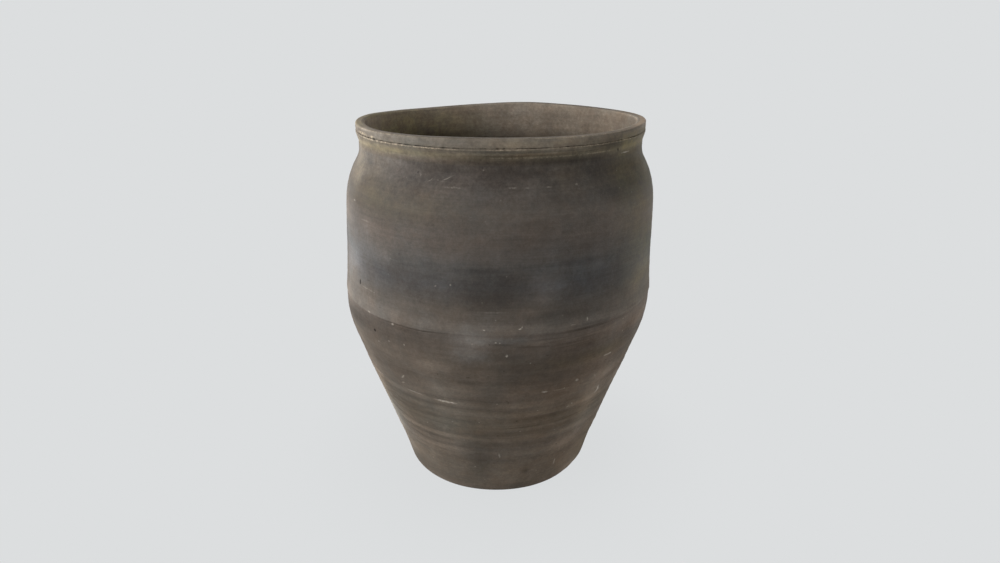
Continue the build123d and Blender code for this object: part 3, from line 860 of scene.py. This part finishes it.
def earthenware(name, tones, upper_tones, pale_marks, dark_marks):
    """Coarse grey-brown earthenware: smoke clouds, level wipe marks, pale grit and a dry, slightly rubbed skin,
    with painted light and shade in its tones, clouds, bands and pale lines.
    """
    material = bpy.data.materials.new(name)
    material.use_nodes = True
    tree = material.node_tree
    shader = tree.nodes["Principled BSDF"]
    put = partial(add, tree)

    # Place on the turned form: millimetres along the wall from the front, and height
    turned = put("Attribute", out="Vector", attribute_name="turned")
    x, y, z = put("SeparateXYZ", (turned,), None).outputs
    back = put("Math", (y, -1.0), operation="MULTIPLY")
    angle = put("Math", (x, back), operation="ARCTAN2")
    across = put("Math", (angle, MARK_RADIUS), operation="MULTIPLY")
    height = put("Math", (z, 1 / MM), operation="MULTIPLY")
    place = put("CombineXYZ", (across, height))

    # Layers of the clay, and its patterns about their middle
    layer = {key: put("Attribute", out="Fac", attribute_name=key) for key, *_ in CLAY_LAYERS}
    pattern = {}
    for key, stretch, scale, detail, rough in CLAY_PATTERNS:
        vector = put("VectorMath", (turned, stretch), operation="MULTIPLY")
        noise = put("TexNoise", {"Vector": vector, "Scale": scale, "Detail": detail, "Roughness": rough})
        pattern[key] = put("Math", (noise, 0.5), operation="SUBTRACT")

    # Edges of marks wander by a millimetre
    noise = put("TexNoise", {"Vector": turned, "Scale": 260.0, "Detail": 3.0}, "Color")
    shift = put("VectorMath", (noise, (0.5, 0.5, 0.5)), operation="SUBTRACT")
    ragged = put("VectorMath", (shift, MARK_RAGGED, place), operation="MULTIPLY_ADD")

    # Tone by height, the neck and rim with their own closer range
    colour = by_height(put, height, tones)
    if upper_tones:
        upper = by_height(put, height, upper_tones)
        above = put("Math", (height, upper_tones[0][0] + NECK_LATER), operation="GREATER_THAN")
        colour = put("Mix", {0: above, 6: colour, 7: upper}, 2, data_type="RGBA")

    # Lighter and darker clouds and the clay's own patterns, as one power of e; the clouds and the level bands in
    # the lift layer hold much painted light and shade
    lift = layer["lift"]
    for key, strength in IN_TONE:
        lift = put("Math", (pattern[key], strength, lift), operation="MULTIPLY_ADD")
    coarse = by_height(put, height, COARSENESS)
    rough = put("Math", (pattern["mottle"], 1.5, pattern["speckle"]), operation="MULTIPLY_ADD")
    lift = put("Math", (rough, coarse, lift), operation="MULTIPLY_ADD")
    factor = put("Math", (lift,), operation="EXPONENT")
    colour = put("VectorMath", {0: colour, "Scale": factor}, operation="SCALE")

    # Stains from grey to rusty brown
    rust = put("Math", (pattern["stain"], layer["rust"]), operation="ADD")
    warm = put("VectorMath", {0: RUST_SWING, "Scale": rust}, operation="SCALE")
    colour = put("VectorMath", (colour, warm, colour), operation="MULTIPLY_ADD")

    # Smoke turns the clay blue-grey, and deposit turns it olive, both broken up by its patterns
    broken = 1.0
    for key, strength in IN_STAINS:
        broken = put("Math", (pattern[key], strength, broken), operation="MULTIPLY_ADD")
    for key, tint in TINTS:
        amount = put("Math", (layer[key], broken), operation="MULTIPLY", use_clamp=True)
        colour = put("Mix", {0: amount, 6: colour, 7: tint}, 2, data_type="RGBA", blend_type="MULTIPLY")

    # Pale lines along the crack and strip, and a painted highlight along the lip's outer top edge, speckled
    flecks = put("Math", (pattern["grain"], 0.7, pattern["speckle"]), operation="MULTIPLY_ADD")
    broken = put("Math", (flecks, 9.0, 1.0), operation="MULTIPLY_ADD")
    pale_lines_and_highlight = put("Math", (layer["cream"], broken), operation="MULTIPLY", use_clamp=True)
    colour = put("Mix", {0: pale_lines_and_highlight, 6: colour, 7: CREAM}, 2, data_type="RGBA")

    # Grit and scuffs, then tool lines and pits, each with specks sprinkled between them
    sprinkled = put("MapRange", (height, *SPECKS))
    broken = put("Math", (flecks, 3.5, 1.0), operation="MULTIPLY_ADD")
    for marks, tone, strength, scale in ((pale_marks, GRIT, 0.68, 45.0), (dark_marks, PIT, 0.95, 38.0)):
        amount = put("Math", (spread(put, ragged, marks), broken), operation="MULTIPLY")
        cells = put("TexVoronoi", {"Vector": turned, "Scale": scale}, None).outputs
        speck = put("MapRange", (cells["Distance"], 0.02, 0.08, 1.0, 0.0))
        chosen = put("Math", (cells["Color"], 0.45), operation="GREATER_THAN")
        chosen = put("Math", (chosen, sprinkled), operation="MULTIPLY")
        amount = put("Math", (speck, chosen, amount), operation="MULTIPLY_ADD")
        amount = put("Math", (amount, strength), operation="MULTIPLY", use_clamp=True)
        colour = put("Mix", {0: amount, 6: colour, 7: tone}, 2, data_type="RGBA")

    rough = put("Math", (pattern["wipe"], 0.4, ROUGHNESS), operation="MULTIPLY_ADD")
    relief = put("Math", (pattern["brush"], 0.5, pattern["grain"]), operation="MULTIPLY_ADD")
    bump = put("Bump", {"Height": relief, "Strength": 0.5, "Distance": 0.6 * MM})
    for key, value in (("Base Color", colour), ("Roughness", rough), ("Normal", bump)):
        tree.links.new(value, shader.inputs[key])
    shader.inputs["Specular IOR Level"].default_value = GLOSS
    return material


outer_clay = earthenware("smoked_earthenware", OUTER_TONES_AND_PAINTED_LIGHT, NECK_TONES_AND_PAINTED_LIGHT, PALE_MARKS, DARK_MARKS)
inner_clay = earthenware("inner_earthenware", INNER_TONES_AND_PAINTED_LIGHT, [], [], [])
tree, socket = hand_thrown_tree()
for mesh, node in (
    (base_disc(), "base_disc"),
    (floor_coil(), "floor_coil"),
    (plain_course("heel_course_clay", DISC_JOINT, HEEL_JOINT), "heel_course"),
    (plain_course("lower_course_clay", HEEL_JOINT, LOWER_JOINT), "lower_course"),
    (plain_course("flare_course_clay", LOWER_JOINT, BELLY_JOINT), "flare_course"),
    (belly_lute(), "belly_lute"),
    (belly_course(), "belly_course"),
    (plain_course("shoulder_course_clay", SHOULDER_JOINT, COLLAR_JOINT), "shoulder_course"),
    (neck_collar(), "neck_collar"),
    (rim_band(), "rim_band"),
):
    hand_thrown(tree, socket, mesh, node, outer_clay, inner_clay)

# Camera at the photograph's place, with its focal length in pixels of the image
FOCAL_PIXELS = 679.6
IMAGE_WIDTH = 1000.0
SENSOR_WIDTH = 36.0
CAMERA_PLACE = (0.0, -1.3018, 0.8524)
CAMERA_DOWN = 20.292
CAMERA_RIGHT = 0.299

camera_data = bpy.data.cameras.new("camera")
camera_data.sensor_fit = "HORIZONTAL"
camera_data.sensor_width = SENSOR_WIDTH
camera_data.lens = SENSOR_WIDTH * FOCAL_PIXELS / IMAGE_WIDTH
camera = placed("camera", camera_data)
camera.location = CAMERA_PLACE
camera.rotation_euler = (math.radians(90 - CAMERA_DOWN), 0.0, math.radians(-CAMERA_RIGHT))
bpy.context.scene.camera = camera

# Studio, in metres: pale paper with the tone of its shadow, its reach and drop, the point that the lights
# are aimed at, and their distance and height
PALE = linear("dcdedf")
SHADED = linear("8c8d8e")
PAPER_REACH = 40.0
PAPER_DROP = 0.0005
MIDDLE = (0.0, 0.0, 0.35)
LIGHT_DISTANCE = 2.8
LIGHT_HEIGHT = 1.2
ROOM_LIGHT = 0.239

# Soft lights: degrees from +X, degrees above level, width and power
SOFT_LIGHTS = [
    ("soft_left_rear", 154, 8, 1.4, 74),
    ("soft_rear", 95, 8, 1.4, 22),
    ("soft_right_rear", 48, 8, 1.2, 22),
    ("soft_right", 12, 8, 1.2, 49),
    ("soft_left", 182, 8, 1.2, 47),
    ("soft_front_left", 225, 45, 1.2, 55),
]


def pale_floor():
    """Pale studio floor, evenly bright to the camera but with the jar's soft shadow and a little painted shade
    round its foot.
    """
    material = bpy.data.materials.new("pale_paper")
    material.use_nodes = True
    material.node_tree.nodes.clear()
    put = partial(add, material.node_tree)
    paper = put("BsdfDiffuse", {"Color": PALE})
    shaded = put("BsdfDiffuse", {"Color": SHADED})
    glow = put("Emission", {"Color": PALE, "Strength": 1.0})
    place = put("TexCoord", out="Object")
    away = put("VectorMath", (place,), "Value", operation="LENGTH")
    # Near the jar the darker paper is mixed in: it takes the jar's shadow and also paints a little shade round its
    # foot
    share = put("MapRange", (away, 0.15, 0.5, 0.94, 1.0), interpolation_type="SMOOTHSTEP")
    even = put("MixShader", (share, shaded, glow))
    seen = put("LightPath", out="Is Camera Ray")
    shown = put("MixShader", (seen, paper, even))
    put("OutputMaterial", (shown,), None)
    mesh = bpy.data.meshes.new("floor")
    corners = [(x * PAPER_REACH, y * PAPER_REACH, 0) for x, y in ((-1, -1), (1, -1), (1, 1), (-1, 1))]
    mesh.from_pydata(corners, [], [(0, 1, 2, 3)])
    mesh.materials.append(material)
    floor = placed("floor", mesh)
    floor.location.z = -PAPER_DROP


def soft_light(name, turn, rise, width, power):
    """Studio light behind a broad cloth, aimed at the middle of the jar."""
    turn, rise = math.radians(turn), math.radians(rise)
    level = LIGHT_DISTANCE * math.cos(rise)
    place = (level * math.cos(turn), level * math.sin(turn), MIDDLE[2] + LIGHT_DISTANCE * math.sin(rise))
    data = bpy.data.lights.new(name, "AREA")
    data.shape = "RECTANGLE"
    data.size = width
    data.size_y = LIGHT_HEIGHT
    data.energy = power
    lamp = placed(name, data)
    lamp.location = place
    lamp.visible_camera = False
    lamp.rotation_euler = (Vector(MIDDLE) - Vector(place)).to_track_quat("-Z", "Y").to_euler()


def studio():
    """Even pale surroundings with the main light from the left."""
    scene = bpy.context.scene
    scene.view_settings.view_transform = "Standard"
    world = bpy.data.worlds.new("studio")
    scene.world = world
    world.use_nodes = True
    world.node_tree.nodes.clear()
    put = partial(add, world.node_tree)
    room = put("Background", {"Color": (1, 1, 1, 1), "Strength": ROOM_LIGHT})
    backdrop = put("Background", {"Color": PALE, "Strength": 1.0})
    seen = put("LightPath", out="Is Camera Ray")
    shown = put("MixShader", (seen, room, backdrop))
    put("OutputWorld", (shown,), None)
    for light in SOFT_LIGHTS:
        soft_light(*light)


pale_floor()
studio()
